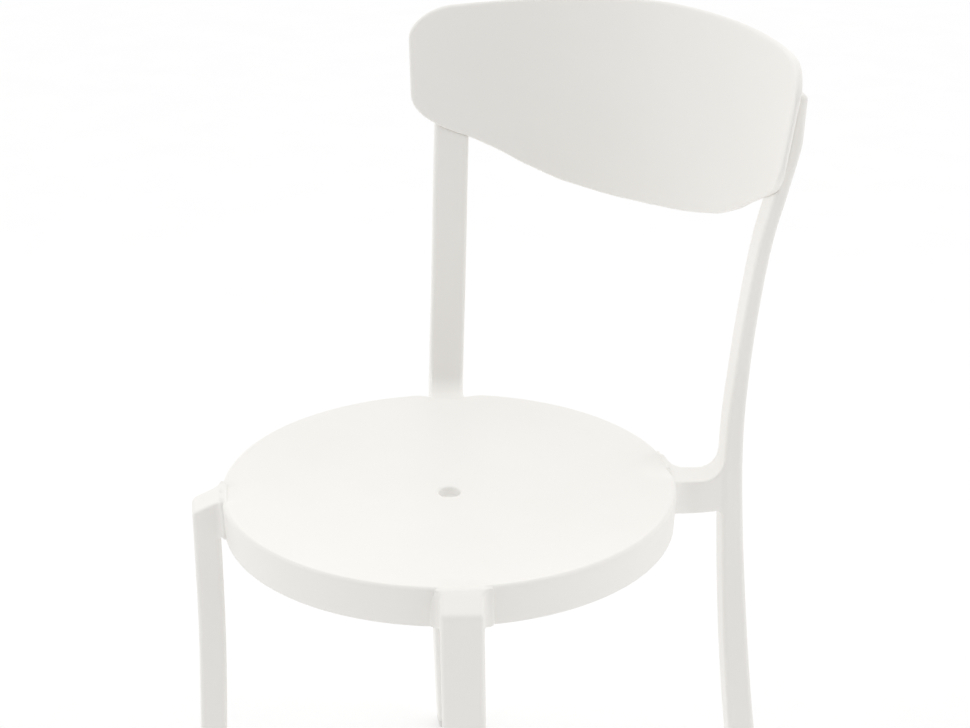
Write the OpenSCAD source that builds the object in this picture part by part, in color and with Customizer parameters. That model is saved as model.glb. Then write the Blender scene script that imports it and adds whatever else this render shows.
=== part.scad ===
// Stacking chair with a round dished seat, four legs set on the diagonals and a curved back panel.
// Millimetres. +X is the sitter's left, -Y is the front, +Z is up.
// The origin is on the floor, under the middle of the chair's outline.

/* [Seat] */
// Height of the seat's rim above the floor
seat_h = 455; // [420:1:480]
// Radius of the seat over its rim
seat_r = 205; // [185:1:225]
// Depth of the dish at its middle, below the rim
dish_d = 12.5; // [6:0.5:16]
// Wall of the seat's top and skirt
seat_wall = 4; // [3:0.5:5]
// Height of the skirt below the rim
skirt_h = 36.5; // [34:0.5:45]
// How far the skirt leans in at its lower edge
skirt_draft = 1.4; // [0.5:0.1:3]
// Radius of the rim's rounded edge
rim_round = 4; // [2:0.5:6]
// Diameter of the drain hole
drain_d = 20; // [10:1:30]
// Thickness of the ribs under the seat
rib_t = 2.5; // [2:0.5:4]
// How far below the rim the ribs reach
rib_h = 21; // [18:0.5:26]
// Radius of the ring of ribs
rib_ring = 105; // [80:1:120]
// Number of ribs between the sockets
rib_count = 12; // [4:4:24]

/* [Front legs] */
// Direction of the leg's head from the seat's middle, forwards from straight sideways
front_angle = 46.85; // [42:0.05:50]
// How far the leg's middle stands outside the rim
front_out = 14.3; // [13:0.1:18]
// How far the foot stands outside the head, sideways
front_splay = 21; // [0:1:40]
// How far the foot stands in front of the head
front_rake = 10; // [0:1:30]
// Angle of the leg's faces, forwards from straight sideways
front_turn = 48.7; // [40:0.1:55]
// Thickness of a front leg, outwards
front_t = 24.4; // [20:0.2:30]
// Width of a front leg
front_w = 35.9; // [30:0.2:42]
// How much lower the head is than the rim where they meet
head_lip = 1.5; // [0.5:0.5:3]
// How much lower the head's outer edge is than the rim
head_drop = 12; // [6:0.5:14]
// Radius where the head meets the skirt
head_fillet = 9; // [6:1:14]

/* [Rear posts] */
// Direction of the post's root from the seat's middle, backwards from straight sideways
rear_angle = 48.7; // [44:0.1:52]
// How far the post's middle stands outside the rim
rear_out = 57.9; // [50:0.1:64]
// Angle of the post's faces, backwards from straight sideways
rear_turn = 42.8; // [38:0.1:48]
// Width of a rear post
rear_w = 34.9; // [30:0.1:40]
// Depth of the arm between the seat and the post
arm_h = 33; // [28:1:36]
// How far the arm's top dips below the rim
arm_dip = 12; // [8:0.5:14]
// Radius where the arm rises into the post
arm_fillet = 18; // [8:1:24]
// Radius where the arm's front side meets the skirt
arm_flare = 18; // [10:1:22]
// How far the arm's front side stands out past the post's width
arm_sweep = 4.5; // [0:0.5:8]
// Depth of the valley that leads from the dish over the rim to the arm
valley_d = 5.5; // [3:0.5:7]
// Half of the valley's width at the rim
valley_w = 30; // [28:1:38]
// Roundness of the long edges of legs and posts
edge_round = 4; // [2:0.5:6]

/* [Back panel] */
// How far the panel's curve passes behind the posts' roots
back_set = 40; // [36:0.5:44]
// Radius of the panel's curve, seen from above
back_r = 260; // [245:1:310]
// How far the panel's end stands outside the post's root
back_over = 40; // [36:0.5:46]
// How much the panel widens for each millimetre of height
back_splay = 0.11; // [0:0.01:0.14]
// Thickness of the panel
back_t = 6.5; // [6:0.5:9]
// Height of the panel's lower edge above the rim, at the middle
back_low = 190; // [180:1:200]
// How much higher the lower edge is at the ends
back_rise = 65; // [50:1:70]
// Height of the panel's upper edge above the rim, at the middle
back_top = 388; // [375:1:400]
// How much lower the upper edge is at the ends
back_fall = 19; // [10:1:30]
// Backward lean of the panel's middle, as a slope
back_lean = 0.03; // [0:0.01:0.1]
// Backward lean of the panel's ends, as a slope
end_lean = 0.09; // [0.03:0.01:0.18]
// Radius of the lower corners
low_corner = 32; // [20:1:42]
// Radius of the upper corners
top_corner = 28; // [12:1:30]

/* [Joints] */
// Width of the tongue that slides under the seat
tongue_w = 26; // [20:1:28]
// Thickness of the tongue
tongue_t = 12; // [9:0.5:13]
// Length of the tongue inside the skirt
tongue_l = 58; // [50:1:70]
// Clearance round a tongue and between a leg and the skirt
slip = 0.25; // [0.15:0.05:0.4]
// Height of the tongue's top below the rim
tongue_z = 20; // [19:0.5:21]
// Wall of the socket beside the tongue
socket_wall = 3.5; // [2.5:0.5:5]
// Diameter of the seat screws' threads
seat_screw_d = 5; // [4:1:6]
// Diameter of the back screws' threads
back_screw_d = 4; // [3:0.5:5]
// Clearance round an insert, a stem or a cap in its hole
press_gap = 0.05; // [0.03:0.01:0.1]
// Clearance between a thread and its insert
thread_gap = 0.05; // [0.03:0.01:0.1]

/* [Feet and pads] */
// Thickness of a glide under its leg
glide_t = 8; // [5:1:12]
// Length of a glide's stem
stem_l = 22; // [15:1:30]
// Diameter of a glide's stem
stem_d = 11; // [8:1:12]
// Diameter of a stacking pad
pad_d = 16; // [12:1:20]

/* [Hidden] */
$fn = 96;

// Where a limb's head stands from the seat's middle
front_mid = (seat_r + front_out) * [cos(front_angle), -sin(front_angle)];
rear_mid = (seat_r + rear_out) * [cos(rear_angle), sin(rear_angle)];
// Half of the panel's width, and how far its face stands behind the seat's middle at back_mid
back_w = rear_mid[0] + back_over;
back_y = rear_mid[1] + back_set + back_r * (1 - cos(asin(rear_mid[0] / back_r)));
back_mid = (back_low + back_top) / 2 + 11;
// The middle of the seat in plan, so that the outline is centred on the origin
seat_y = (seat_r - back_y - back_t - back_lean * (back_top - back_mid)) / 2;
skirt_r = seat_r - skirt_draft;
tongue_top = seat_h - tongue_z;
washer_t = 1;
washer_d = 2.2 * seat_screw_d;
insert_d = seat_screw_d + 3;
insert_l = 8;
head_t = 2.8;
back_insert_d = back_screw_d + 2;
back_insert_l = 4.6;
back_head_d = 1.9 * back_screw_d;
back_head_t = 2.6;
cap_t = 1.6;
back_grip = 5;
panel_gap = 0.2;
tongue_holes = [18, 42];
pad_angles = [0, 90, 180, 270];
pad_ring = seat_r - seat_wall - 12;
pad_proud = 2.5;
brass = "#c9a659";
steel = "#b9bcc0";
off_white = "#f3f2ee";
grey = "#8f8f8c";

// Stations up a limb, from its foot to its top: [height, x, y behind the seat's centre, thickness]
front_line = [
    for (k = [[glide_t, 1, 1], [seat_h - 300, 0.45, 0.35], [seat_h - 150, 0.11, 0], [seat_h - 30, 0, 0],
            [seat_h - head_lip, 0, 0]])
        [k[0], front_mid[0] + k[1] * front_splay, front_mid[1] - k[2] * front_rake, front_t]
];
rear_rise = back_top - 46;
rear_line = [
    for (k = [[glide_t, 29.5, 40.5, 27], [seat_h - 300, 16.5, 19.5, 26], [seat_h - 150, 7.5, 4.5, 23],
            [seat_h, 0, 0, 18], [seat_h + 0.29 * rear_rise, 1, 6, 14], [seat_h + 0.585 * rear_rise, 7.5, 17.7, 13],
            [seat_h + 0.754 * rear_rise, 15.4, 29.9, 13], [seat_h + 0.877 * rear_rise, 20.8, 39.3, 13],
            [seat_h + rear_rise, 23, 42.5, 9.5]])
        [k[0], rear_mid[0] + k[1], rear_mid[1] + k[2], k[3]]
];

// Curves
function outward(turn) = [cos(turn), sin(turn)];
function across(turn) = [-sin(turn), cos(turn)];
function mix(a, b, k) = a + (b - a) * k;
// A quarter-round fillet's height at a distance from its foot
function fillet(r, d) = d >= r ? 0 : r - sqrt(max(0, r * r - pow(r - max(d, 0), 2)));
// A smooth curve through a list of stations
function spline(p, t) =
    let (i = min(floor(t), len(p) - 2), u = t - i,
        a = p[max(i - 1, 0)], b = p[i], c = p[i + 1], d = p[min(i + 2, len(p) - 1)])
    b + 0.5 * u * ((c - a) + u * ((2 * a - 5 * b + 4 * c - d) + u * (3 * (b - c) + d - a)));

// A rounded rectangle's outline, from its middle: size across is [depth, width]
function rounded(size, r, n = 5) = [
    for (k = [0 : 3], i = [0 : n - 1])
        let (a = 90 * k + 90 * i / (n - 1),
            cx = (k == 0 || k == 3 ? 1 : -1) * (size[0] / 2 - r),
            cy = (k < 2 ? 1 : -1) * (size[1] / 2 - r))
        [cx + r * cos(a), cy + r * sin(a)]
];

// Faces of a solid made of rings that hold the same number of points
function loft_faces(rings, n) = concat(
    [[for (i = [0 : n - 1]) i]],
    [for (k = [0 : rings - 2], i = [0 : n - 1])
        let (j = (i + 1) % n, a = k * n) [a + i, a + n + i, a + j]],
    [for (k = [0 : rings - 2], i = [0 : n - 1])
        let (j = (i + 1) % n, a = k * n) [a + j, a + n + i, a + n + j]],
    [[for (i = [n - 1 : -1 : 0]) (rings - 1) * n + i]]
);
module loft(rings) {
    n = len(rings[0]);
    polyhedron(points = [for (r = rings, p = r) p], faces = loft_faces(len(rings), n), convexity = 6);
}

// One level ring round a limb, shrunk by inset and tilted down outwards by tilt
function limb_ring(s, turn, w, inset = 0, lift = 0, tilt = 0) = [
    for (p = rounded([s[3] - 2 * inset, w - 2 * inset], max(edge_round - inset, 0.8)))
        let (q = [s[1], s[2]] + p[0] * outward(turn) + p[1] * across(turn))
        [q[0], q[1], s[0] + lift - tilt * (p[0] + s[3] / 2)]
];
// A limb swept up its stations, with a rounded top that may slope down outwards
module limb(line, turn, w, steps, top_round, tilt) {
    last = len(line) - 1;
    top = line[last];
    body = [for (i = [0 : (last - 1) * steps]) limb_ring(spline(line, i / steps), turn, w)];
    crown = [for (a = [0 : 30 : 90])
        limb_ring(top, turn, w, top_round * (1 - cos(a)), top_round * (sin(a) - 1), tilt)];
    loft(concat(body, crown));
}

// A bridge from a limb's middle in to the skirt. Each ring stands upright at a distance in from
// the limb: [distance, top, dip of the middle, bottom, extra width in front, extra width behind]
function bridge_ring(mid, turn, w, r, b) =
    let (lo = -w / 2 - b[4], hi = w / 2 + b[5], n = 8,
        outline = concat(
            [[(lo + hi) / 2, b[3]]],
            [for (a = [-90 : 30 : 0]) [hi - r + r * cos(a), b[3] + r + r * sin(a)]],
            [for (i = [0 : n]) let (k = i / n)
                [mix(hi - r * 0.3, lo + r * 0.3, k), b[1] - b[2] * (1 - pow(2 * k - 1, 2))]],
            [for (a = [180 : 30 : 270]) [lo + r + r * cos(a), b[3] + r + r * sin(a)]]))
    [for (p = outline) let (q = mid - b[0] * outward(turn) + p[0] * across(turn)) [q[0], q[1], p[1]]];
module bridge(mid, turn, w, r, spans) {
    loft([for (i = [len(spans) - 1 : -1 : 0]) bridge_ring(mid, turn, w, r, spans[i])]);
}

// What a limb's head meets
rear_t = rear_line[3][3];
head_tilt = (head_drop - head_lip) / front_t;
// Distance in from a limb's middle to the seat's rim, at an offset along the limb's width
function contact(mid, turn, off) =
    mid * outward(turn) - sqrt(pow(seat_r, 2) - pow(mid * across(turn) + off, 2));
front_contact = contact(front_mid, -front_turn, 0);
// The same for the arm's front side and its rear side, at the post's width
arm_front = contact(rear_mid, rear_turn, -rear_w / 2);
arm_rear = contact(rear_mid, rear_turn, rear_w / 2);
// Offset of the arm's middle along the post's width, and its direction from the seat's middle
root_off = -arm_sweep / 2;
valley_turn = rear_turn + asin((rear_mid * across(rear_turn) + root_off) / seat_r);

// Heights and distances in, from a front leg's middle to inside the skirt
head_spans = [
    for (s = concat([0, front_contact - head_fillet],
            [for (a = [15 : 15 : 90]) front_contact - head_fillet * (1 - sin(a))], [front_contact + 12]))
        let (f = fillet(head_fillet, front_contact - s),
            top = min(seat_h - 0.5, seat_h - head_lip + head_tilt * (s - front_t / 2)))
        [s, top - 0.2, 0, seat_h - skirt_h, f - 0.3, f - 0.3]
];
// The same from a rear post's middle, with the arm's dip, its sweep and its fillets
function arm_span(s) =
    let (p = s - rear_t / 2, k = min(1, max(0, p / (arm_front - rear_t / 2))),
        near = fillet(arm_flare, arm_front - s), far = fillet(arm_flare, arm_rear - s),
        edge = -arm_dip + (arm_dip - 4) * max(near, far) / arm_flare + fillet(arm_fillet, p),
        valley = mix(-arm_dip, -valley_d, pow(k, 3)) + fillet(arm_fillet, p),
        low = mix(-arm_dip - arm_h, -skirt_h, min(1, near / arm_flare)) - fillet(4, p))
    [s, seat_h + edge, max(0.5, edge - valley), seat_h + low,
        arm_sweep * sin(min(90, 150 * k)) + near - 0.3, far - 2 * sin(180 * k) - 0.3];
arm_spans = [
    for (s = concat([0, rear_t / 4], [for (a = [0 : 15 : 75]) rear_t / 2 + arm_fillet * (1 - cos(a))],
            [for (k = [0 : 0.25 : 1]) mix(rear_t / 2 + arm_fillet, arm_front - arm_flare, k)],
            [for (a = [15 : 15 : 90]) arm_front - arm_flare * (1 - sin(a))],
            [arm_rear, arm_rear + 14]))
        arm_span(s)
];

// Frames. A limb's own frame has +X outwards and +Y along its width, from its head's middle.
module on_seat() {
    translate([0, seat_y, 0]) children();
}
module sides() {
    children();
    mirror([1, 0, 0]) children();
}
module left() {
    mirror([1, 0, 0]) children();
}
module front_frame() {
    translate([front_mid[0], front_mid[1], 0]) rotate([0, 0, -front_turn]) children();
}
module rear_frame() {
    translate([rear_mid[0], rear_mid[1], 0]) rotate([0, 0, rear_turn]) children();
}
// The middle line of a front tongue, and of a rear one, from the skirt inwards along -X
module front_tongue_frame() {
    front_frame() translate([-front_contact, 0, 0]) children();
}
module rear_tongue_frame() {
    rear_frame() translate([-contact(rear_mid, rear_turn, root_off), root_off, 0]) children();
}

// Seat
function dish_z(r) = seat_h - dish_d * (1 - pow(r / seat_r, 2));
dish_line = [for (k = [0 : 12]) let (r = mix(drain_d / 2, seat_r - rim_round, k / 12)) [r, dish_z(r)]];
rim_line = [
    for (a = [75 : -15 : 0])
        [seat_r - rim_round * (1 - cos(a)), seat_h - rim_round * (1 - sin(a))]
];
module shell_profile() {
    inner = [for (k = [12 : -1 : 0]) let (p = dish_line[k]) [min(p[0], seat_r - seat_wall - 4), p[1] - seat_wall]];
    polygon(concat(dish_line, rim_line,
        [[skirt_r, seat_h - skirt_h + 1], [skirt_r - 1, seat_h - skirt_h], [skirt_r - seat_wall, seat_h - skirt_h],
            [seat_r - seat_wall - 0.2, seat_h - seat_wall - 6], [seat_r - seat_wall - 2, seat_h - seat_wall - 1.5]],
        inner));
}
// Everything under the middle of the seat's wall, down to a depth below the rim
module under_seat(depth) {
    rotate_extrude() polygon(concat(
        [for (p = dish_line) [p[0], p[1] - seat_wall / 2]],
        [[seat_r - seat_wall / 2, seat_h - seat_wall], [skirt_r - seat_wall / 2, seat_h - depth],
            [drain_d / 2, seat_h - depth]]));
}
// The skirt's outside, grown by a clearance
module skirt_envelope(gap) {
    rotate_extrude() polygon([[0, seat_h - skirt_h - 40], [skirt_r + gap, seat_h - skirt_h - 40],
        [skirt_r + gap, seat_h - skirt_h + 1],
        for (a = [0 : 15 : 75])
            [seat_r - rim_round + (rim_round + gap) * cos(a), seat_h - rim_round + (rim_round + gap) * sin(a)],
        [seat_r - rim_round, seat_h + gap], [seat_r - rim_round - 4, seat_h + 40], [0, seat_h + 40]]);
}
module tongue_holes(r, from, to) {
    for (s = tongue_holes)
        translate([-s, 0, from]) cylinder(r = r, h = to - from);
}
// Block between the seat's top and the tongue, with a wall on each side of it
module socket_block() {
    w = tongue_w + 2 * (slip + socket_wall);
    translate([-tongue_l - 5, -w / 2, seat_h - skirt_h + 2]) cube([tongue_l + 3, w, skirt_h]);
}
module socket_cut() {
    w = tongue_w + 2 * slip;
    translate([-tongue_l - slip, -w / 2, seat_h - skirt_h - 1])
        cube([tongue_l + slip - seat_wall - 2, w, tongue_top - seat_h + skirt_h + 1]);
    translate([-seat_wall - 4, -w / 2, tongue_top - tongue_t - slip]) cube([seat_wall + 12, w, tongue_t + slip]);
    tongue_holes(insert_d / 2 + press_gap, tongue_top - 1, tongue_top + insert_l);
}
module valley_cut() {
    r = (pow(valley_w, 2) + pow(valley_d, 2)) / (2 * valley_d);
    rotate([0, 0, valley_turn]) translate([seat_r, 0, seat_h - valley_d]) rotate([0, 5, 0])
        translate([-60, 0, r]) rotate([0, 90, 0]) cylinder(r = r, h = 90, $fn = 180);
}
module pad_bosses(r, from, to) {
    for (a = pad_angles)
        rotate([0, 0, a]) translate([pad_ring, 0, from]) cylinder(r = r, h = to - from);
}
module seat_shell() {
    pad_top = seat_h - skirt_h + 2;
    color(off_white) on_seat() difference() {
        union() {
            rotate_extrude() shell_profile();
            intersection() {
                under_seat(rib_h);
                union() {
                    for (i = [0 : rib_count - 1])
                        rotate([0, 0, (i + 0.5) * 360 / rib_count])
                            translate([drain_d / 2, -rib_t / 2, seat_h - rib_h - 1]) cube([seat_r, rib_t, rib_h]);
                    for (r = [drain_d / 2 + 1, rib_ring])
                        translate([0, 0, seat_h - rib_h - 1]) difference() {
                            cylinder(r = r + rib_t, h = rib_h);
                            translate([0, 0, -1]) cylinder(r = r, h = rib_h + 2);
                        }
                }
            }
            intersection() {
                under_seat(skirt_h - 2);
                sides() {
                    front_tongue_frame() socket_block();
                    rear_tongue_frame() socket_block();
                }
            }
            intersection() {
                under_seat(skirt_h - 2);
                pad_bosses(pad_d / 2 - 2, pad_top, seat_h);
            }
        }
        sides() {
            front_tongue_frame() socket_cut();
            rear_tongue_frame() socket_cut();
            valley_cut();
        }
        pad_bosses(3 + press_gap, pad_top - 1, pad_top + 9);
    }
}

// Legs and posts
module tongue() {
    difference() {
        translate([-tongue_l, -tongue_w / 2, tongue_top - tongue_t]) cube([tongue_l + 3, tongue_w, tongue_t]);
        tongue_holes(seat_screw_d / 2 + slip, tongue_top - tongue_t - 1, tongue_top + 1);
    }
}
module stem_hole(line, turn) {
    translate([line[0][1], line[0][2], glide_t - 1]) cylinder(r = stem_d / 2 + press_gap, h = stem_l + 1.5);
}
module front_leg() {
    color(off_white) on_seat() difference() {
        union() {
            difference() {
                union() {
                    limb(front_line, -front_turn, front_w, 5, 3, head_tilt);
                    bridge(front_mid, -front_turn, front_w, 3, head_spans);
                }
                skirt_envelope(slip);
            }
            front_tongue_frame() tongue();
        }
        stem_hole(front_line, -front_turn);
    }
}
module rear_post() {
    color(off_white) on_seat() difference() {
        union() {
            difference() {
                union() {
                    limb(rear_line, rear_turn, rear_w, 5, 3, 0);
                    bridge(rear_mid, rear_turn, rear_w, 4, arm_spans);
                }
                skirt_envelope(slip);
            }
            rear_tongue_frame() tongue();
        }
        stem_hole(rear_line, rear_turn);
        back_solid(-40, back_t + panel_gap, panel_gap, 60);
        for (f = back_fix) back_frame(f) {
            cylinder(r = back_screw_d / 2 + slip, h = 60);
            translate([0, 0, back_grip]) cylinder(r = back_head_d / 2 + slip, h = 40);
        }
    }
}
module front_left_leg() left() front_leg();
module front_right_leg() front_leg();
module rear_left_post() left() rear_post();
module rear_right_post() rear_post();

// Back panel
low_line = [[0, 0], [0.23, 0.04], [0.46, 0.19], [0.62, 0.42], [0.76, 0.70], [0.88, 0.91], [1, 1]];
function low_at(k) = let (j = min(max([for (i = [0 : 5]) low_line[i][0] <= k ? i : 0]), 5),
        a = low_line[j], b = low_line[j + 1], u = (k - a[0]) / (b[0] - a[0]))
    spline(low_line, j + u)[1];
function corner(r, x) = let (d = back_w - abs(x)) fillet(r, d);
function lower_edge(x) = back_low + back_rise * low_at(min(1, abs(x) / back_w)) + corner(low_corner, x);
function upper_edge(x) = back_top - back_fall * pow(abs(x) / back_w, 1.6) - corner(top_corner, x);
function lean_at(x) = mix(back_lean, end_lean, pow(x / back_w, 2));
// Where the screws meet the panel: how far outside the post's root, and the share of its height
back_fix = [
    for (k = [[12.5, 0.28], [15.5, 0.6]])
        let (x = rear_mid[0] + k[0])
        [x, mix(lower_edge(x), upper_edge(x), k[1])]
];
function back_turn(x) = asin(x / back_r);
// A point of the panel: x across, n behind its face, z above the rim
function back_point(x, n, z) =
    [x * (1 + back_splay * (z - back_mid - 20) / back_w) + n * sin(back_turn(x)),
        back_y + lean_at(x) * (z - back_mid) - back_r * (1 - cos(back_turn(x))) + n * cos(back_turn(x)),
        seat_h + z];
// The panel's shape from n0 to n1 behind its face, grown by gap, and by above at its upper edge
module back_solid(n0, n1, gap, above) {
    e = back_t / 2 + gap;
    mid = (n0 + n1) / 2;
    rings = [
        for (t = [-90 : 3 : 90])
            let (x = back_w * sin(t), d = min(e, back_w - abs(x)),
                k = gap > 0 ? 1 : max(0.3, sqrt(1 - pow(1 - d / e, 2))),
                lo = lower_edge(x) + back_t / 2, hi = upper_edge(x) - back_t / 2 + above)
            concat(
                [for (a = [180 : 30 : 360])
                    back_point(x, mid + k * ((a > 270 ? n1 - e : n0 + e) + e * cos(a) - mid), lo + e * sin(a))],
                [for (a = [0 : 30 : 180])
                    back_point(x, mid + k * ((a < 90 ? n1 - e : n0 + e) + e * cos(a) - mid), hi + e * sin(a))])
    ];
    loft(rings);
}
// A frame on the panel's rear face, with +Z out of it
module back_frame(f) {
    p = back_point(f[0], back_t, f[1]);
    translate(p) rotate([0, 0, -back_turn(f[0])]) rotate([-90 - atan(lean_at(f[0])), 0, 0]) children();
}
module back_panel() {
    color(off_white) on_seat() difference() {
        back_solid(0, back_t, 0, 0);
        sides() for (f = back_fix) back_frame(f)
            translate([0, 0, -back_insert_l - 0.2]) cylinder(r = back_insert_d / 2 + press_gap, h = 20);
    }
}

// Feet
module glide(line, turn, w) {
    s = line[0];
    foot = [0, s[1], s[2], s[3] - 1];
    color(grey) on_seat() {
        loft([for (k = [[1.6, 0], [0.5, 0.5], [0, 1.6], [0, glide_t]]) limb_ring(foot, turn, w - 1, k[0], k[1])]);
        translate([s[1], s[2], glide_t - 1]) cylinder(r = stem_d / 2, h = stem_l + 1);
    }
}
module front_left_glide() left() glide(front_line, -front_turn, front_w);
module front_right_glide() glide(front_line, -front_turn, front_w);
module rear_left_glide() left() glide(rear_line, rear_turn, rear_w);
module rear_right_glide() glide(rear_line, rear_turn, rear_w);

// Fasteners
module sleeve(outer, bore, l) {
    difference() {
        cylinder(d = outer, h = l);
        translate([0, 0, -1]) cylinder(d = bore, h = l + 2);
    }
}
// A screw whose head's underside is at z = 0, with its thread up +Z
module screw(d, head_d, h, l) {
    difference() {
        translate([0, 0, -h]) cylinder(d = head_d, h = h);
        translate([0, 0, -h - 1]) cylinder(d = 0.6 * d, h = h * 0.6 + 1, $fn = 6);
    }
    translate([0, 0, -0.2]) cylinder(d = d, h = l + 0.2);
}
module seat_inserts() {
    color(brass) on_seat() sides() for (s = tongue_holes) {
        front_tongue_frame() translate([-s, 0, tongue_top])
            sleeve(insert_d, seat_screw_d + 2 * thread_gap, insert_l);
        rear_tongue_frame() translate([-s, 0, tongue_top])
            sleeve(insert_d, seat_screw_d + 2 * thread_gap, insert_l);
    }
}
module tongue_screws() {
    for (s = tongue_holes) translate([-s, 0, tongue_top - tongue_t - washer_t])
        screw(seat_screw_d, 1.9 * seat_screw_d, head_t, washer_t + tongue_t + insert_l - 1);
}
module front_leg_screws() {
    color(steel) on_seat() sides() front_tongue_frame() tongue_screws();
}
module rear_post_screws() {
    color(steel) on_seat() sides() rear_tongue_frame() tongue_screws();
}
module washers() {
    for (s = tongue_holes) translate([-s, 0, tongue_top - tongue_t - washer_t])
        sleeve(washer_d, seat_screw_d + 2 * slip, washer_t);
}
module seat_washers() {
    color(steel) on_seat() sides() {
        front_tongue_frame() washers();
        rear_tongue_frame() washers();
    }
}
module back_inserts() {
    color(brass) on_seat() sides() for (f = back_fix) back_frame(f)
        translate([0, 0, -back_insert_l]) sleeve(back_insert_d, back_screw_d + 2 * thread_gap, back_insert_l);
}
module back_screws() {
    color(steel) on_seat() sides() for (f = back_fix) back_frame(f)
        translate([0, 0, back_grip]) rotate([180, 0, 0])
            screw(back_screw_d, back_head_d, back_head_t, back_grip + back_insert_l - 0.4);
}
module back_screw_caps() {
    color(off_white) on_seat() sides() for (f = back_fix) back_frame(f)
        translate([0, 0, back_grip + back_head_t + 0.2]) cylinder(r = back_head_d / 2 + slip - press_gap, h = cap_t);
}
module stacking_pads() {
    pad_top = seat_h - skirt_h + 2;
    color(grey) on_seat() {
        pad_bosses(pad_d / 2, pad_top - 2 - pad_proud, pad_top);
        pad_bosses(3, pad_top - 1, pad_top + 8);
    }
}

seat_shell();
front_left_leg();
front_right_leg();
rear_left_post();
rear_right_post();
back_panel();
front_left_glide();
front_right_glide();
rear_left_glide();
rear_right_glide();
seat_inserts();
front_leg_screws();
rear_post_screws();
seat_washers();
back_inserts();
back_screws();
back_screw_caps();
stacking_pads();
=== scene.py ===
"""Looks of a moulded stacking chair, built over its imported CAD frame.

The seat, the back panel, the legs and the posts are modelled here as finished mouldings. The
screws, washers, inserts, caps and pads keep their CAD meshes and get finished materials.
"""

from __future__ import annotations

import logging
import math
from dataclasses import dataclass, field
from enum import Enum
from typing import Iterable

import bmesh
import bpy
from mathutils import Matrix, Vector

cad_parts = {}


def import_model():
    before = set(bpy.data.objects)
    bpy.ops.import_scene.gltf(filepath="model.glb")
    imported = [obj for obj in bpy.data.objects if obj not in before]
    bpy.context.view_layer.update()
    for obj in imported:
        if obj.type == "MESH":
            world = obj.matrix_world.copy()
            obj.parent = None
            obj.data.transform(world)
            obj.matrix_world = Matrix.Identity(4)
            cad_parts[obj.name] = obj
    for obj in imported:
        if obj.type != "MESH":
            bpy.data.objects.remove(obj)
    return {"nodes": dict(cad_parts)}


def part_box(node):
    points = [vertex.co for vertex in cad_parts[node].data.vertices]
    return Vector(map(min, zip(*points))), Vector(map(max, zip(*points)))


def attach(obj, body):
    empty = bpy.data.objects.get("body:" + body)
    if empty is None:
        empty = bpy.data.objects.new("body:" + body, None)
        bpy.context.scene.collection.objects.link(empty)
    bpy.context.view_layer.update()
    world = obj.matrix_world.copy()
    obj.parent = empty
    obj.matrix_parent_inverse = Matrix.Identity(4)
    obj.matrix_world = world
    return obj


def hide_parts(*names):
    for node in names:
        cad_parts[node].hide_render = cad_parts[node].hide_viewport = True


LOG = logging.getLogger("stacking_chair")
MM = 0.001


class Side(Enum):
    """A side of the chair, as the sitter names it, with its direction along X."""

    LEFT = 1
    RIGHT = -1

    @property
    def word(self) -> str:
        """The side's word in a node's name."""
        return self.name.lower()


def smooth_min(a: float, b: float, width: float) -> float:
    """Return the lesser of two heights, blended where they lie within a width of each other.

    Args:
        a: The first height.
        b: The second height.
        width: The span over which the two blend.

    Returns:
        The blended lesser height.
    """
    share = max(0.0, min(1.0, 0.5 + (b - a) / (2 * width)))
    return b + (a - b) * share - width * share * (1 - share)


def ease(value: float) -> float:
    """Return a share from 0 to 1, eased at both ends."""
    share = max(0.0, min(1.0, value))
    return share * share * (3 - 2 * share)


# Shared effects of the materials


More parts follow.
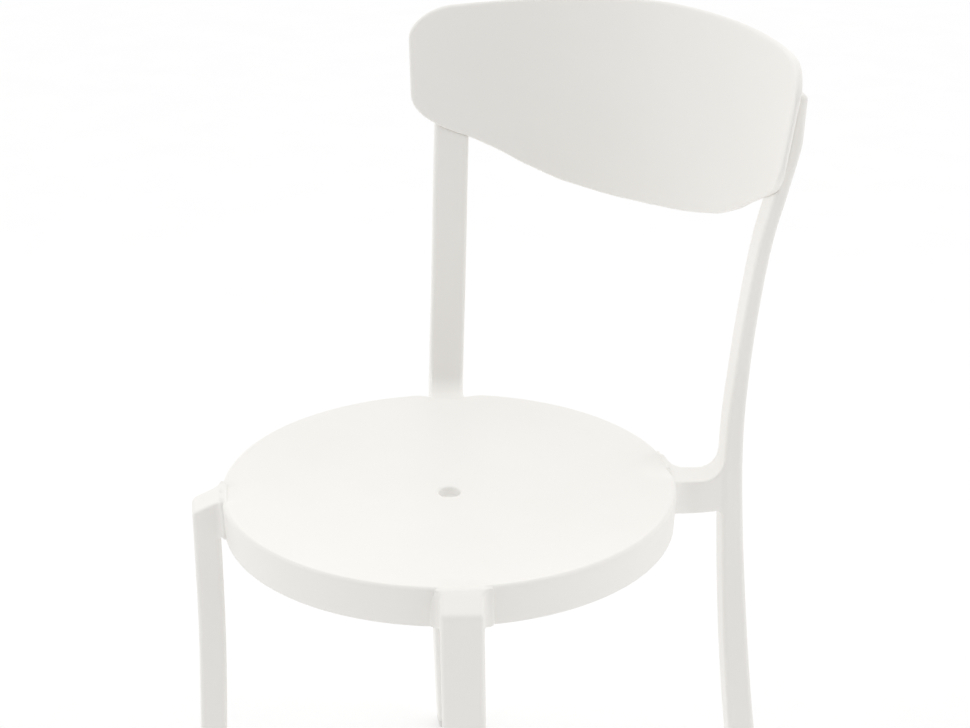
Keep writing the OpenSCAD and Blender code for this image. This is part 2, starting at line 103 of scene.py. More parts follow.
class Effect:
    """Node groups that several finishes share. Each is built once, when it is first asked for."""

    _built: dict[str, bpy.types.NodeTree] = {}

    @classmethod
    def _start(cls, name: str, inputs: dict[str, float], output: str) -> bpy.types.NodeTree:
        """Start a group that reads a place and some numbers, and gives one value.

        Args:
            name: The group's name.
            inputs: The number sockets, with their usual values.
            output: The name of the value that the group gives.

        Returns:
            The new group, with its input and output nodes in it.
        """
        group = bpy.data.node_groups.new(name, "ShaderNodeTree")
        group.interface.new_socket("Place", in_out="INPUT", socket_type="NodeSocketVector")
        for label, usual in inputs.items():
            socket = group.interface.new_socket(label, in_out="INPUT", socket_type="NodeSocketFloat")
            socket.default_value = usual
        group.interface.new_socket(output, in_out="OUTPUT", socket_type="NodeSocketFloat")
        group.nodes.new("NodeGroupInput").name = "in"
        group.nodes.new("NodeGroupOutput").name = "out"
        return group

    @classmethod
    def grain(cls) -> bpy.types.NodeTree:
        """Return the height of a moulded grain: fine pits over a slight long ripple."""
        if "grain" not in cls._built:
            group = cls._start("moulded_grain", {"Scale": 900.0, "Ripple": 30.0}, "Height")
            source, sink, link = group.nodes["in"], group.nodes["out"], group.links.new
            fine = group.nodes.new("ShaderNodeTexNoise")
            fine.inputs["Detail"].default_value = 3.0
            ripple = group.nodes.new("ShaderNodeTexNoise")
            ripple.inputs["Detail"].default_value = 1.0
            add = group.nodes.new("ShaderNodeMath")
            add.operation = "MULTIPLY_ADD"
            add.inputs[1].default_value = 0.8
            link(source.outputs["Place"], fine.inputs["Vector"])
            link(source.outputs["Place"], ripple.inputs["Vector"])
            link(source.outputs["Scale"], fine.inputs["Scale"])
            link(source.outputs["Ripple"], ripple.inputs["Scale"])
            link(ripple.outputs["Fac"], add.inputs[0])
            link(fine.outputs["Fac"], add.inputs[2])
            link(add.outputs[0], sink.inputs["Height"])
            cls._built["grain"] = group
        return cls._built["grain"]

    @classmethod
    def cloud(cls) -> bpy.types.NodeTree:
        """Return a soft mask of broad clouds, for slight differences of tint and gloss."""
        if "cloud" not in cls._built:
            group = cls._start("soft_cloud", {"Scale": 6.0, "Low": 0.35, "High": 0.65}, "Mask")
            source, sink, link = group.nodes["in"], group.nodes["out"], group.links.new
            noise = group.nodes.new("ShaderNodeTexNoise")
            noise.inputs["Detail"].default_value = 4.0
            noise.inputs["Roughness"].default_value = 0.55
            spread = group.nodes.new("ShaderNodeMapRange")
            link(source.outputs["Place"], noise.inputs["Vector"])
            link(source.outputs["Scale"], noise.inputs["Scale"])
            link(noise.outputs["Fac"], spread.inputs["Value"])
            link(source.outputs["Low"], spread.inputs["From Min"])
            link(source.outputs["High"], spread.inputs["From Max"])
            link(spread.outputs["Result"], sink.inputs["Mask"])
            cls._built["cloud"] = group
        return cls._built["cloud"]

    @classmethod
    def scuff(cls) -> bpy.types.NodeTree:
        """Return a mask of short rubbed marks that only lie below a height over the floor."""
        if "scuff" not in cls._built:
            group = cls._start("floor_scuff", {"Scale": 60.0, "Reach": 0.06}, "Mask")
            source, sink, link = group.nodes["in"], group.nodes["out"], group.links.new
            split = group.nodes.new("ShaderNodeSeparateXYZ")
            fade = group.nodes.new("ShaderNodeMapRange")
            fade.inputs["To Min"].default_value = 1.0
            fade.inputs["To Max"].default_value = 0.0
            noise = group.nodes.new("ShaderNodeTexNoise")
            noise.inputs["Detail"].default_value = 6.0
            marks = group.nodes.new("ShaderNodeMapRange")
            marks.inputs["From Min"].default_value = 0.54
            marks.inputs["From Max"].default_value = 0.70
            both = group.nodes.new("ShaderNodeMath")
            both.operation = "MULTIPLY"
            link(source.outputs["Place"], split.inputs[0])
            link(split.outputs["Z"], fade.inputs["Value"])
            link(source.outputs["Reach"], fade.inputs["From Max"])
            link(source.outputs["Place"], noise.inputs["Vector"])
            link(source.outputs["Scale"], noise.inputs["Scale"])
            link(noise.outputs["Fac"], marks.inputs["Value"])
            link(fade.outputs["Result"], both.inputs[0])
            link(marks.outputs["Result"], both.inputs[1])
            link(both.outputs[0], sink.inputs["Mask"])
            cls._built["scuff"] = group
        return cls._built["scuff"]


# Finishes


@dataclass(frozen=True)
class Finish:
    """What every finish has: a colour with a slight second tint, a gloss and a grain."""

    name: str
    colour: tuple[float, float, float]
    tint: tuple[float, float, float]
    gloss: tuple[float, float] = (0.40, 0.50)
    metallic: float = 0.0
    specular: float = 0.5
    grain_scale: float = 900.0
    ripple_scale: float = 30.0
    grain_depth: float = 0.02 * MM
    cloud_scale: float = 6.0

    def build(self) -> bpy.types.Material:
        """Make the material.

        Returns:
            The finished material, patterned on Object coordinates.
        """
        material = bpy.data.materials.new(self.name)
        material.use_nodes = True
        material.diffuse_color = (*self.colour, 1.0)
        nodes, link = material.node_tree.nodes, material.node_tree.links.new
        shader = nodes["Principled BSDF"]
        shader.inputs["Metallic"].default_value = self.metallic
        shader.inputs["Specular IOR Level"].default_value = self.specular
        place = nodes.new("ShaderNodeTexCoord").outputs["Object"]
        cloud = self._group(nodes, Effect.cloud(), Scale=self.cloud_scale)
        grain = self._group(nodes, Effect.grain(), Scale=self.grain_scale, Ripple=self.ripple_scale)
        link(place, cloud.inputs["Place"])
        link(place, grain.inputs["Place"])
        colour = self._mix(material, cloud.outputs["Mask"], self.colour, self.tint)
        link(self.dirty(material, place, colour), shader.inputs["Base Color"])
        gloss = nodes.new("ShaderNodeMapRange")
        gloss.inputs["To Min"].default_value = self.gloss[0]
        gloss.inputs["To Max"].default_value = self.gloss[1]
        link(cloud.outputs["Mask"], gloss.inputs["Value"])
        link(gloss.outputs["Result"], shader.inputs["Roughness"])
        bump = nodes.new("ShaderNodeBump")
        bump.inputs["Distance"].default_value = self.grain_depth
        bump.inputs["Strength"].default_value = 1.0
        link(grain.outputs["Height"], bump.inputs["Height"])
        link(bump.outputs["Normal"], shader.inputs["Normal"])
        return material

    def dirty(
        self, material: bpy.types.Material, place: bpy.types.NodeSocket, colour: bpy.types.NodeSocket
    ) -> bpy.types.NodeSocket:
        """Return the colour as it is: a plain finish carries no marks."""
        return colour

    @staticmethod
    def _group(nodes: bpy.types.Nodes, tree: bpy.types.NodeTree, **values: float) -> bpy.types.Node:
        """Place a shared effect in a material.

        Args:
            nodes: The material's nodes.
            tree: The effect.
            **values: The effect's own values, by socket name.

        Returns:
            The node that holds the effect.
        """
        node = nodes.new("ShaderNodeGroup")
        node.node_tree = tree
        for label, value in values.items():
            node.inputs[label].default_value = value
        return node

    @staticmethod
    def _mix(
        material: bpy.types.Material,
        mask: bpy.types.NodeSocket,
        low: tuple[float, float, float] | bpy.types.NodeSocket,
        high: tuple[float, float, float],
    ) -> bpy.types.NodeSocket:
        """Mix two colours by a mask.

        Args:
            material: The material to add the mix to.
            mask: The mask, from 0 to 1.
            low: The colour, or the socket that gives it, where the mask is 0.
            high: The colour where the mask is 1.

        Returns:
            The socket that gives the mixed colour.
        """
        mix = material.node_tree.nodes.new("ShaderNodeMix")
        mix.data_type = "RGBA"
        link = material.node_tree.links.new
        link(mask, mix.inputs["Factor"])
        if isinstance(low, bpy.types.NodeSocket):
            link(low, mix.inputs[6])
        else:
            mix.inputs[6].default_value = (*low, 1.0)
        mix.inputs[7].default_value = (*high, 1.0)
        return mix.outputs[2]


@dataclass(frozen=True)
class MouldedPlastic(Finish):
    """A moulded plastic that may be rubbed a little near the floor."""

    scuff_tint: tuple[float, float, float] | None = None
    scuff_reach: float = 0.05

    def dirty(
        self, material: bpy.types.Material, place: bpy.types.NodeSocket, colour: bpy.types.NodeSocket
    ) -> bpy.types.NodeSocket:
        """Add the rubbed marks near the floor.

        Args:
            material: The material.
            place: The socket of the Object coordinates.
            colour: The clean colour's socket.

        Returns:
            The socket of the colour with its marks.
        """
        if self.scuff_tint is None:
            return colour
        scuff = self._group(material.node_tree.nodes, Effect.scuff(), Scale=60.0, Reach=self.scuff_reach)
        material.node_tree.links.new(place, scuff.inputs["Place"])
        return self._mix(material, scuff.outputs["Mask"], colour, self.scuff_tint)


class Finishes:
    """The chair's finishes, each made once."""

    def __init__(self) -> None:
        """Build every material."""
        white = (0.905, 0.889, 0.858)
        warm = (0.893, 0.876, 0.842)
        self.shell = MouldedPlastic("white_shell_plastic", white, warm).build()
        self.frame = MouldedPlastic(
            "white_frame_plastic", white, warm, scuff_tint=(0.80, 0.79, 0.76)
        ).build()
        self.panel = MouldedPlastic("white_panel_plastic", white, warm, cloud_scale=5.0).build()
        self.glide = MouldedPlastic(
            "pale_glide_plastic", (0.78, 0.775, 0.755), (0.74, 0.735, 0.715), gloss=(0.45, 0.6),
            scuff_tint=(0.52, 0.51, 0.49), scuff_reach=0.008,
        ).build()
        self.pad = Finish(
            "grey_pad_rubber", (0.27, 0.27, 0.265), (0.31, 0.31, 0.30), gloss=(0.65, 0.8),
            grain_depth=0.04 * MM,
        ).build()
        self.zinc = Finish(
            "zinc_plate", (0.62, 0.63, 0.65), (0.55, 0.57, 0.61), gloss=(0.25, 0.4), metallic=1.0,
            grain_scale=1500.0, grain_depth=0.01 * MM, cloud_scale=90.0,
        ).build()
        self.brass = Finish(
            "insert_brass", (0.72, 0.52, 0.22), (0.60, 0.42, 0.17), gloss=(0.25, 0.42), metallic=1.0,
            grain_scale=1500.0, grain_depth=0.01 * MM, cloud_scale=120.0,
        ).build()


# Mesh helpers


def adopt(
    bm: bmesh.types.BMesh, name: str, finish: bpy.types.Material, slot: str, *nodes: str
) -> bpy.types.Object:
    """Turn a bmesh into a piece of the chair that stands for some CAD nodes.

    Args:
        bm: The shape. It is freed.
        name: The piece's name.
        finish: Its material.
        slot: Not used.
        *nodes: The CAD nodes that it stands for.

    Returns:
        The new object, riding on the chair's one body.
    """
    mesh = bpy.data.meshes.new(name)
    bm.to_mesh(mesh)
    bm.free()
    mesh.materials.append(finish)
    mesh.polygons.foreach_set("use_smooth", [True] * len(mesh.polygons))
    piece = bpy.data.objects.new(name, mesh)
    bpy.context.scene.collection.objects.link(piece)
    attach(piece, "root")
    if nodes:
        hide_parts(*nodes)
    LOG.info("%s: %d faces", name, len(mesh.polygons))
    return piece


def outline(bm: bmesh.types.BMesh, points: Iterable[tuple[float, float, float]]) -> list:
    """Draw an open line through points.

    Args:
        bm: The bmesh to draw in.
        points: The points, in order.

    Returns:
        The line's vertices and edges, as a spin takes them.
    """
    verts = [bm.verts.new(p) for p in points]
    return verts + [bm.edges.new(pair) for pair in zip(verts, verts[1:])]


def block(bm: bmesh.types.BMesh, low: Vector, high: Vector, turn: float, round_by: float) -> None:
    """Add an upright block with rounded edges, turned about the Z axis.

    Args:
        bm: The bmesh to add to.
        low: The block's low corner in its own frame.
        high: The block's high corner in its own frame.
        turn: The angle from +X to the frame's own +X.
        round_by: The radius of the edges.
    """
    size, mid = high - low, (high + low) / 2
    place = Matrix.Rotation(turn, 4, "Z") @ Matrix.Translation(mid)
    made = bmesh.ops.create_cube(bm, size=1.0, matrix=place @ Matrix.Diagonal((*size, 1.0)))
    edges = list({e for v in made["verts"] for e in v.link_edges})
    bmesh.ops.bevel(bm, geom=edges, offset=round_by, segments=2, affect="EDGES", profile=0.5, material=-1)


# Sub-assemblies


@dataclass
class SeatShell:
    """The round dished seat: its shell, the ribs under it and the sockets for the limbs."""

    finish: bpy.types.Material
    wall: float = 4 * MM
    dish: float = 12.5 * MM
    rim_round: float = 4 * MM
    draft: float = 1.4 * MM
    drain: float = 10 * MM
    valley_depth: float = 5.5 * MM
    valley_half: float = 30 * MM
    valley_fall: float = math.tan(math.radians(5))
    valley_angle: float = math.radians(49.5)
    head_angle: float = math.radians(-46.85)
    head_half: float = 22 * MM
    head_dip: float = 1.7 * MM
    head_reach: float = 20 * MM
    head_fade: float = 18 * MM
    head_edge: float = 8 * MM
    blend: float = 2.2 * MM
    lip: float = 1.2 * MM
    rib: float = 2.5 * MM
    rib_edge: float = 0.5 * MM
    rib_depth: float = 21 * MM
    rib_ring: float = 105 * MM
    ribs: int = 12
    insert_boss: float = 2.6 * MM
    pad_boss: float = 2.0 * MM
    steps: int = 288
    low: Vector = field(init=False)
    high: Vector = field(init=False)

    def __post_init__(self) -> None:
        """Take the seat's place and overall size from its CAD node."""
        self.low, self.high = (Vector(c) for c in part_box("seat_shell"))
        self.radius = (self.high.x - self.low.x) / 2
        self.centre = Vector((0.0, (self.low.y + self.high.y) / 2, 0.0))
        self.rim = self.high.z
        self.foot = self.low.z

    def dish_at(self, r: float) -> float:
        """Return the dish's height at a distance from the seat's middle."""
        return self.rim - self.dish * (1 - (r / self.radius) ** 2)

    def drop(self, x: float, y: float) -> float:
        """Return how far the valleys lower the top at a place, measured from the seat's middle."""
        r = min(math.hypot(x, y), self.radius - self.rim_round)
        plain = self.dish_at(r)
        lowest = plain
        for side in Side:
            turn = self.valley_turn(side)
            along = x * math.cos(turn) + y * math.sin(turn)
            aside = -x * math.sin(turn) + y * math.cos(turn)
            if along <= 0:
                continue
            bend = (self.valley_half**2 + self.valley_depth**2) / self.valley_depth
            floor = self.rim - self.valley_depth + aside**2 / bend + (self.radius - along) * self.valley_fall
            lowest = smooth_min(lowest, floor, self.blend)
        return max(0.0, plain - lowest) + self.head_drop(x, y)

    def head_drop(self, x: float, y: float) -> float:
        """Return how far the rim sinks to meet a front leg's head."""
        aside = self.radius * abs(math.atan2(y, abs(x)) - self.head_angle)
        near = ease((math.hypot(x, y) - self.radius + self.head_reach) / self.head_fade)
        return self.head_dip * near * ease((self.head_half - aside) / self.head_edge)

    def valley_turn(self, side: Side) -> float:
        """Return the direction of the valley towards one rear post, from +X."""
        return self.valley_angle if side is Side.LEFT else math.pi - self.valley_angle

    def profile(self) -> list[tuple[float, float, float]]:
        """Return the shell's outline from the drain's upper edge round to its lower edge."""
        inside = self.radius - self.rim_round
        lip = self.lip
        top = [
            (r, self.dish_at(r))
            for r in (self.drain + lip + (inside - self.drain - lip) * i / 60 for i in range(61))
        ]
        edge = [
            (inside + self.rim_round * math.sin(a), self.rim - self.rim_round * (1 - math.cos(a)))
            for a in (math.radians(10 * i) for i in range(2, 10))
        ]
        out = self.radius - self.draft
        shoulder = self.rim - self.rim_round
        skirt = [
            (self.radius - self.draft * k, shoulder + (self.foot + 1 * MM - shoulder) * k)
            for k in (i / 8 for i in range(1, 9))
        ]
        foot = [
            (out - 0.3 * MM, self.foot + 0.3 * MM), (out - 1 * MM, self.foot), (out - 3.2 * MM, self.foot)
        ]
        corner = self.rim - self.wall - 6 * MM
        back = [(out - self.wall, self.foot + 0.6 * MM)] + [
            (self.radius - self.wall - self.draft * (1 - k), self.foot + (corner - self.foot) * k)
            for k in (i / 6 for i in range(1, 7))
        ]
        under = [
            (r, self.dish_at(r) - self.wall)
            for r in (inside - 4 * MM - (inside - 4 * MM - self.drain - lip) * i / 40 for i in range(41))
        ]
        hole = self.dish_at(self.drain)
        drain = [
            (self.drain, hole - self.wall + lip),
            (self.drain, hole - lip),
            (self.drain + 0.35 * lip, hole - 0.35 * lip),
        ]
        return [(r, 0.0, z) for r, z in top + edge + skirt + foot + back + under + drain]

    def lower_valleys(self, bm: bmesh.types.BMesh) -> None:
        """Sink the top into the valleys, and squeeze the skirt and the under side to follow it."""
        reach = self.rim - self.foot
        for vert in bm.verts:
            drop = self.drop(vert.co.x, vert.co.y)
            if drop:
                depth = self.rim - vert.co.z
                vert.co.z -= drop * (1 - ease((depth - self.rim_round) / (reach - self.rim_round)))

    def add_ribs(self, bm: bmesh.types.BMesh) -> None:
        """Add the radial ribs and their rings under the shell."""
        for ring in (self.drain + 1 * MM, self.rib_ring):
            roof = self.dish_at(ring) - self.wall + 1 * MM
            low = self.rim - self.rib_depth
            points = [(ring, roof), (ring, low), (ring + self.rib, low), (ring + self.rib, roof)]
            self.spin(bm, [(r, 0.0, z) for r, z in points])
        for index in range(self.ribs):
            turn = math.radians((index + 0.5) * 360 / self.ribs)
            far = self.radius - self.wall - 1.5 * MM
            while far > self.rib_ring and self.dish_at(far) - self.wall < self.rim - self.rib_depth:
                far -= 1 * MM
            block(
                bm,
                Vector((self.drain + 2 * MM, -self.rib / 2, self.rim - self.rib_depth)),
                Vector((far, self.rib / 2, self.rim - self.dish - self.wall + 1.5 * MM)),
                turn, self.rib_edge,
            )

    def add_sockets(self, bm: bmesh.types.BMesh) -> None:
        """Add the bosses that hold the threaded inserts and the pads under the shell."""
        for node, reach in (("seat_inserts", self.insert_boss), ("stacking_pads", self.pad_boss)):
            for low, high in self.islands(node):
                mid = (low + high) / 2 - self.centre
                r = math.hypot(mid.x, mid.y)
                wide = (high.x - low.x) / 2 + reach
                roof = self.dish_at(r) - self.wall - self.drop(mid.x, mid.y) + 1 * MM
                foot = low.z + (0.2 * MM if node == "seat_inserts" else (high.z - low.z) * 0.45)
                if roof - foot > 2 * MM:
                    bmesh.ops.create_cone(
                        bm, cap_ends=True, segments=48, radius1=wide, radius2=wide, depth=roof - foot,
                        matrix=Matrix.Translation((mid.x, mid.y, (roof + foot) / 2)),
                    )

    @staticmethod
    def islands(node: str) -> list[tuple[Vector, Vector]]:
        """Return the low and high corners of each separate solid in a CAD node.

        Args:
            node: The CAD node's name.

        Returns:
            The corners, solid by solid.
        """
        bm = bmesh.new()
        bm.from_mesh(bpy.data.objects[node].data)
        bmesh.ops.remove_doubles(bm, verts=bm.verts, dist=0.005 * MM)
        left, found = set(bm.verts), []
        while left:
            group, front = [], [left.pop()]
            while front:
                vert = front.pop()
                group.append(vert.co)
                near = {e.other_vert(vert) for e in vert.link_edges} & left
                left -= near
                front.extend(near)
            found.append((
                Vector([min(c[i] for c in group) for i in range(3)]),
                Vector([max(c[i] for c in group) for i in range(3)]),
            ))
        bm.free()
        return found

    def spin(self, bm: bmesh.types.BMesh, points: list[tuple[float, float, float]]) -> None:
        """Spin a line about the seat's axis and close its seam.

        Args:
            bm: The bmesh to add to.
            points: The line, from the seat's middle.
        """
        bmesh.ops.spin(
            bm, geom=outline(bm, points + points[:1]), cent=(0, 0, 0), axis=(0, 0, 1),
            angle=math.tau, steps=self.steps, use_merge=True,
        )

    def build(self) -> bpy.types.Object:
        """Make the seat.

        Returns:
            The finished seat.
        """
        bm = bmesh.new()
        self.spin(bm, self.profile())
        bmesh.ops.remove_doubles(bm, verts=bm.verts, dist=0.02 * MM)
        self.add_ribs(bm)
        bmesh.ops.recalc_face_normals(bm, faces=bm.faces)
        self.lower_valleys(bm)
        self.add_sockets(bm)
        bmesh.ops.translate(bm, verts=bm.verts, vec=self.centre)
        return adopt(bm, "seat_moulding", self.finish, "shell", "seat_shell")


@dataclass
class BackPanel:
    """The curved back panel, from its outline and the curve it is bent to."""

    finish: bpy.types.Material
    half: float = 213.5 * MM
    radius: float = 260 * MM
    thick: float = 6.5 * MM
    low: float = 190 * MM
    rise: float = 65 * MM
    top: float = 388 * MM
    fall: float = 19 * MM
    lean: tuple[float, float] = (0.03, 0.09)
    splay: float = 0.11
    middle_rise: float = 11 * MM
    splay_rise: float = 20 * MM
    corners: tuple[float, float] = (32 * MM, 28 * MM)
    columns: int = 140
    rows: int = 30

    def __post_init__(self) -> None:
        """Take the panel's place from the CAD nodes."""
        high = Vector(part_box("back_panel")[1])
        self.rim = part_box("seat_shell")[1][2]
        self.middle = (self.low + self.top) / 2 + self.middle_rise
        self.face = high.y - self.thick - self.lean[0] * (self.top - self.middle)

    def lower(self, x: float) -> float:
        """Return the lower edge's height over the rim at a distance sideways."""
        share = min(1.0, abs(x) / self.half)
        points = ((0, 0), (0.23, 0.04), (0.46, 0.19), (0.62, 0.42), (0.76, 0.70), (0.88, 0.91), (1, 1))
        index = max(i for i in range(6) if points[i][0] <= share)
        (x0, y0), (x1, y1) = points[index], points[index + 1]
        before, after = points[max(index - 1, 0)], points[min(index + 2, 6)]
        u = (share - x0) / (x1 - x0)
        bend = (y1 - before[1]) + u * (
            (2 * before[1] - 5 * y0 + 4 * y1 - after[1]) + u * (3 * (y0 - y1) + after[1] - before[1])
        )
        return self.low + self.rise * (y0 + 0.5 * u * bend) + self.corner(self.corners[0], x)

    def upper(self, x: float) -> float:
        """Return the upper edge's height over the rim at a distance sideways."""
        return self.top - self.fall * (abs(x) / self.half) ** 1.6 - self.corner(self.corners[1], x)

    def corner(self, radius: float, x: float) -> float:
        """Return how far a rounded corner takes the edge in at a distance sideways."""
        gap = self.half - abs(x)
        if gap >= radius:
            return 0.0
        return radius - math.sqrt(max(0.0, radius**2 - (radius - max(gap, 0.0)) ** 2))

    def bend(self, x: float, depth: float, z: float) -> Vector:
        """Bend a flat place to the panel's curve.

        Args:
            x: The distance sideways.
            depth: The distance behind the front face.
            z: The height over the rim.

        Returns:
            The place in the row's frame.
        """
        turn = math.asin(max(-1.0, min(1.0, x / self.radius)))
        lean = self.lean[0] + (self.lean[1] - self.lean[0]) * (x / self.half) ** 2
        return Vector((
            x * (1 + self.splay * (z - self.middle - self.splay_rise) / self.half) + depth * math.sin(turn),
            self.face + lean * (z - self.middle)
            - self.radius * (1 - math.cos(turn)) + depth * math.cos(turn),
            self.rim + z,
        ))

    def ring(self, bm: bmesh.types.BMesh, x: float) -> list[bmesh.types.BMEdge]:
        """Draw the panel's closed outline at a distance sideways.

        Args:
            bm: The bmesh to draw in.
            x: The distance sideways.

        Returns:
            The outline's edges.
        """
        half_wall = self.thick / 2
        gap = min(self.half - abs(x), half_wall)
        share = max(0.1, math.sqrt(max(0.0, 1 - (1 - gap / half_wall) ** 2)))
        low, high = self.lower(x) + half_wall, self.upper(x) - half_wall
        turns = [math.radians(22.5 * i) for i in range(9)]
        levels = [low + (high - low) * i / self.rows for i in range(1, self.rows)]
        places = (
            [(-math.cos(a), low - half_wall * math.sin(a)) for a in turns]
            + [(1.0, z) for z in levels]
            + [(math.cos(a), high + half_wall * math.sin(a)) for a in turns]
            + [(-1.0, z) for z in reversed(levels)]
        )
        verts = [bm.verts.new(self.bend(x, half_wall * (1 + share * deep), z)) for deep, z in places]
        return [bm.edges.new(pair) for pair in zip(verts, verts[1:] + verts[:1])]

    def build(self) -> bpy.types.Object:
        """Make the panel from outlines drawn across it and joined in turn.

        Returns:
            The finished panel.
        """
        bm = bmesh.new()
        turns = [math.radians(-90 + 180 * i / self.columns) for i in range(self.columns + 1)]
        rings = [self.ring(bm, self.half * math.sin(turn)) for turn in turns]
        for near, far in zip(rings, rings[1:]):
            bmesh.ops.bridge_loops(bm, edges=near + far)
        bmesh.ops.holes_fill(bm, edges=rings[0] + rings[-1], sides=0)
        bmesh.ops.recalc_face_normals(bm, faces=bm.faces)
        return adopt(bm, "back_moulding", self.finish, "panel", "back_panel")


@dataclass
class Moulding:
    """A limb moulded in one piece: a merged, smoothed copy of its CAD shape."""

    node: str
    finish: bpy.types.Material
    slot: str = "frame"
    voxel: float = 1.4 * MM
    passes: int = 4
    near: float = 1.2 * MM
    behind: float = 6 * MM
    inward: float = 1.8 * MM
    inward_top: float = 3.0 * MM
    top_reach: float = 10 * MM
    top_fade: float = 9 * MM

    def build(self) -> bpy.types.Object:
        """Make the moulding.

        Returns:
            The finished piece.
        """
        source = bpy.data.objects[self.node]
        bm = bmesh.new()
        bm.from_mesh(source.data)
        bmesh.ops.remove_doubles(bm, verts=bm.verts, dist=0.005 * MM)
        piece = adopt(bm, f"{self.node}_moulding", self.finish, self.slot, self.node)
        remesh = piece.modifiers.new("merge", "REMESH")
        remesh.mode = "VOXEL"
        remesh.voxel_size = self.voxel
        remesh.use_smooth_shade = True
        smooth = piece.modifiers.new("soften", "SMOOTH")
        smooth.factor = 0.5
        smooth.iterations = self.passes
        depsgraph = bpy.context.evaluated_depsgraph_get()
        done = bpy.data.meshes.new_from_object(piece.evaluated_get(depsgraph), depsgraph=depsgraph)
        done.materials.clear()
        done.materials.append(self.finish)
        done.polygons.foreach_set("use_smooth", [True] * len(done.polygons))
        piece.modifiers.clear()
        piece.data = done
        self.close_seam(done)
        LOG.info("%s: %d faces after smoothing", piece.name, len(done.polygons))
        return piece

    def close_seam(self, mesh: bpy.types.Mesh) -> None:
        """Carry the limb's end on into the seat's skirt and the rounding of its rim.

        Args:
            mesh: The limb's finished mesh.
        """
        low, high = (Vector(c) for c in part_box("seat_shell"))
        radius, rim, middle = (high.x - low.x) / 2, high.z, (low.y + high.y) / 2
        shoulder = rim - SeatShell.rim_round
        depth = shoulder - low.z - 1 * MM
        for vert in mesh.vertices:
            x, y, z = vert.co.x, vert.co.y - middle, vert.co.z
            if not low.z - 1 * MM < z < rim + 1 * MM:
                continue
            r = math.hypot(x, y)
            skirt = radius - SeatShell.draft * min(1.0, max(0.0, (shoulder - z) / depth))
            if skirt - self.behind < r < skirt + self.near:
                share = ease((z - rim + self.top_reach) / self.top_fade)
                target = r - self.inward - self.inward_top * share
                vert.co.x, vert.co.y = x * target / r, y * target / r + middle


# Studio


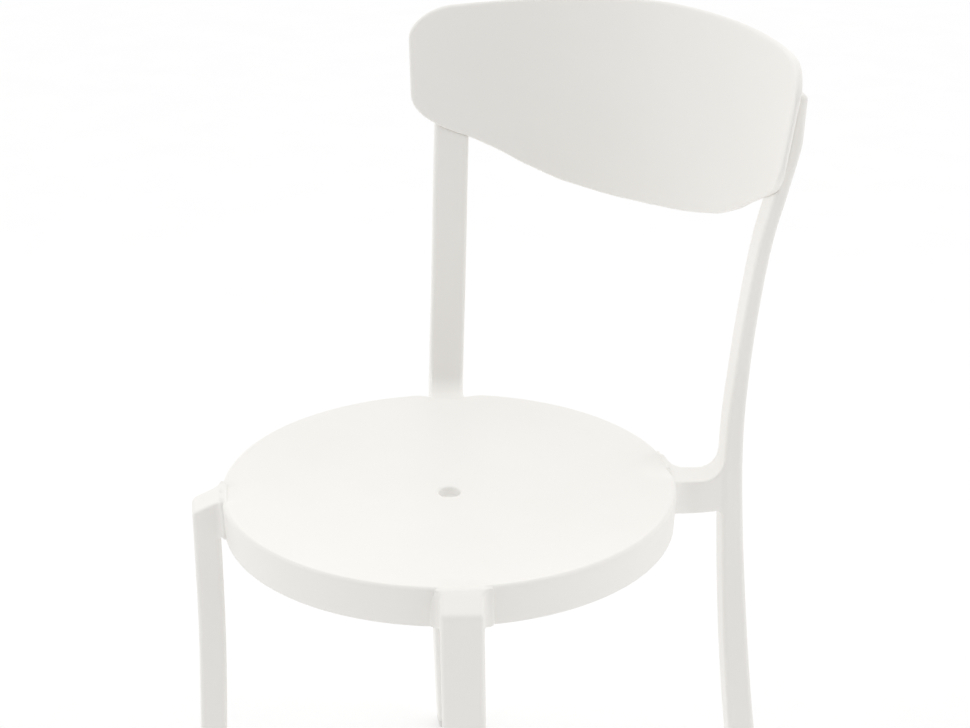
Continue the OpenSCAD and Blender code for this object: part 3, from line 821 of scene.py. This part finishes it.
@dataclass
class Studio:
    """The camera, the floor and the lights."""

    eye: Vector = field(default_factory=lambda: Vector((0.9708, -1.1808, 1.1519)))
    tilt: float = math.radians(67.85)
    turn: float = math.radians(39.505)
    lens: float = 67.2
    shift: float = 0.0223
    dim_side: tuple[float, float, float] = (0.63, -0.76, 0.15)
    bright: float = 1.13
    dim: float = 0.35

    def camera(self) -> None:
        """Place the camera."""
        data = bpy.data.cameras.new("camera")
        data.lens = self.lens
        data.sensor_width = 36.0
        data.shift_y = self.shift
        camera = bpy.data.objects.new("camera", data)
        camera.location = self.eye
        camera.rotation_euler = (self.tilt, 0.0, self.turn)
        bpy.context.scene.collection.objects.link(camera)
        bpy.context.scene.camera = camera

    def floor(self, finish: bpy.types.Material) -> None:
        """Lay the floor."""
        mesh = bpy.data.meshes.new("floor")
        bm = bmesh.new()
        bmesh.ops.create_grid(bm, x_segments=1, y_segments=1, size=30.0)
        bm.to_mesh(mesh)
        bm.free()
        mesh.materials.append(finish)
        floor = bpy.data.objects.new("floor", mesh)
        bpy.context.scene.collection.objects.link(floor)

    def light(self, name: str, place: tuple[float, float, float], size: float, power: float) -> None:
        """Hang a soft square light that faces the chair.

        Args:
            name: The light's name.
            place: Where it hangs.
            size: The length of its side.
            power: Its power in watts.
        """
        data = bpy.data.lights.new(name, "AREA")
        data.energy = power
        data.size = size
        lamp = bpy.data.objects.new(name, data)
        lamp.location = place
        aim = Vector((0.0, 0.0, 0.45)) - Vector(place)
        lamp.rotation_euler = aim.to_track_quat("-Z", "Y").to_euler()
        bpy.context.scene.collection.objects.link(lamp)

    def build(self) -> None:
        """Lay the floor and hang the lights."""
        paper = Finish(
            "floor_paper", (0.72, 0.72, 0.72), (0.71, 0.71, 0.71), gloss=(0.8, 0.9), specular=0.0
        ).build()
        shader = paper.node_tree.nodes["Principled BSDF"]
        shader.inputs["Emission Color"].default_value = (1.0, 1.0, 1.0, 1.0)
        shader.inputs["Emission Strength"].default_value = 0.27
        self.floor(paper)
        self.surround()
        self.light("ceiling", (0.0, 0.2, 3.0), 2.5, 3.0)

    def surround(self) -> None:
        """Surround the chair with a white room that is a little dimmer on the viewer's side."""
        world = bpy.data.worlds.new("surround")
        world.use_nodes = True
        nodes, link = world.node_tree.nodes, world.node_tree.links.new
        place = nodes.new("ShaderNodeTexCoord")
        towards = nodes.new("ShaderNodeVectorMath")
        towards.operation = "DOT_PRODUCT"
        towards.inputs[1].default_value = self.dim_side
        fade = nodes.new("ShaderNodeMapRange")
        fade.interpolation_type = "SMOOTHSTEP"
        fade.inputs["From Min"].default_value = 0.35
        fade.inputs["To Min"].default_value = self.bright
        fade.inputs["To Max"].default_value = self.dim
        link(place.outputs["Generated"], towards.inputs[0])
        link(towards.outputs["Value"], fade.inputs["Value"])
        link(fade.outputs["Result"], nodes["Background"].inputs["Strength"])
        nodes["Background"].inputs["Color"].default_value = (1.0, 1.0, 1.0, 1.0)
        bpy.context.scene.world = world


def main() -> None:
    """Build the chair's pieces over the frame, then light and view them."""
    logging.basicConfig(level=logging.INFO, format="%(message)s")
    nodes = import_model()["nodes"]
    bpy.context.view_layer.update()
    studio = Studio()
    studio.camera()
    bpy.context.scene.view_settings.view_transform = "Standard"
    finishes = Finishes()
    SeatShell(finishes.shell).build()
    BackPanel(finishes.panel).build()
    for side in Side:
        Moulding(f"front_{side.word}_leg", finishes.frame).build()
        Moulding(f"rear_{side.word}_post", finishes.frame).build()
    carried = {
        "front_left_glide": finishes.glide, "front_right_glide": finishes.glide,
        "rear_left_glide": finishes.glide, "rear_right_glide": finishes.glide,
        "seat_inserts": finishes.brass, "back_inserts": finishes.brass,
        "front_leg_screws": finishes.zinc, "rear_post_screws": finishes.zinc,
        "seat_washers": finishes.zinc, "back_screws": finishes.zinc,
        "back_screw_caps": finishes.frame, "stacking_pads": finishes.pad,
    }
    for name, finish in carried.items():
        nodes[name].data.materials.clear()
        nodes[name].data.materials.append(finish)
        LOG.info("%s: kept", name)
    studio.build()


if __name__ == "__main__":
    main()
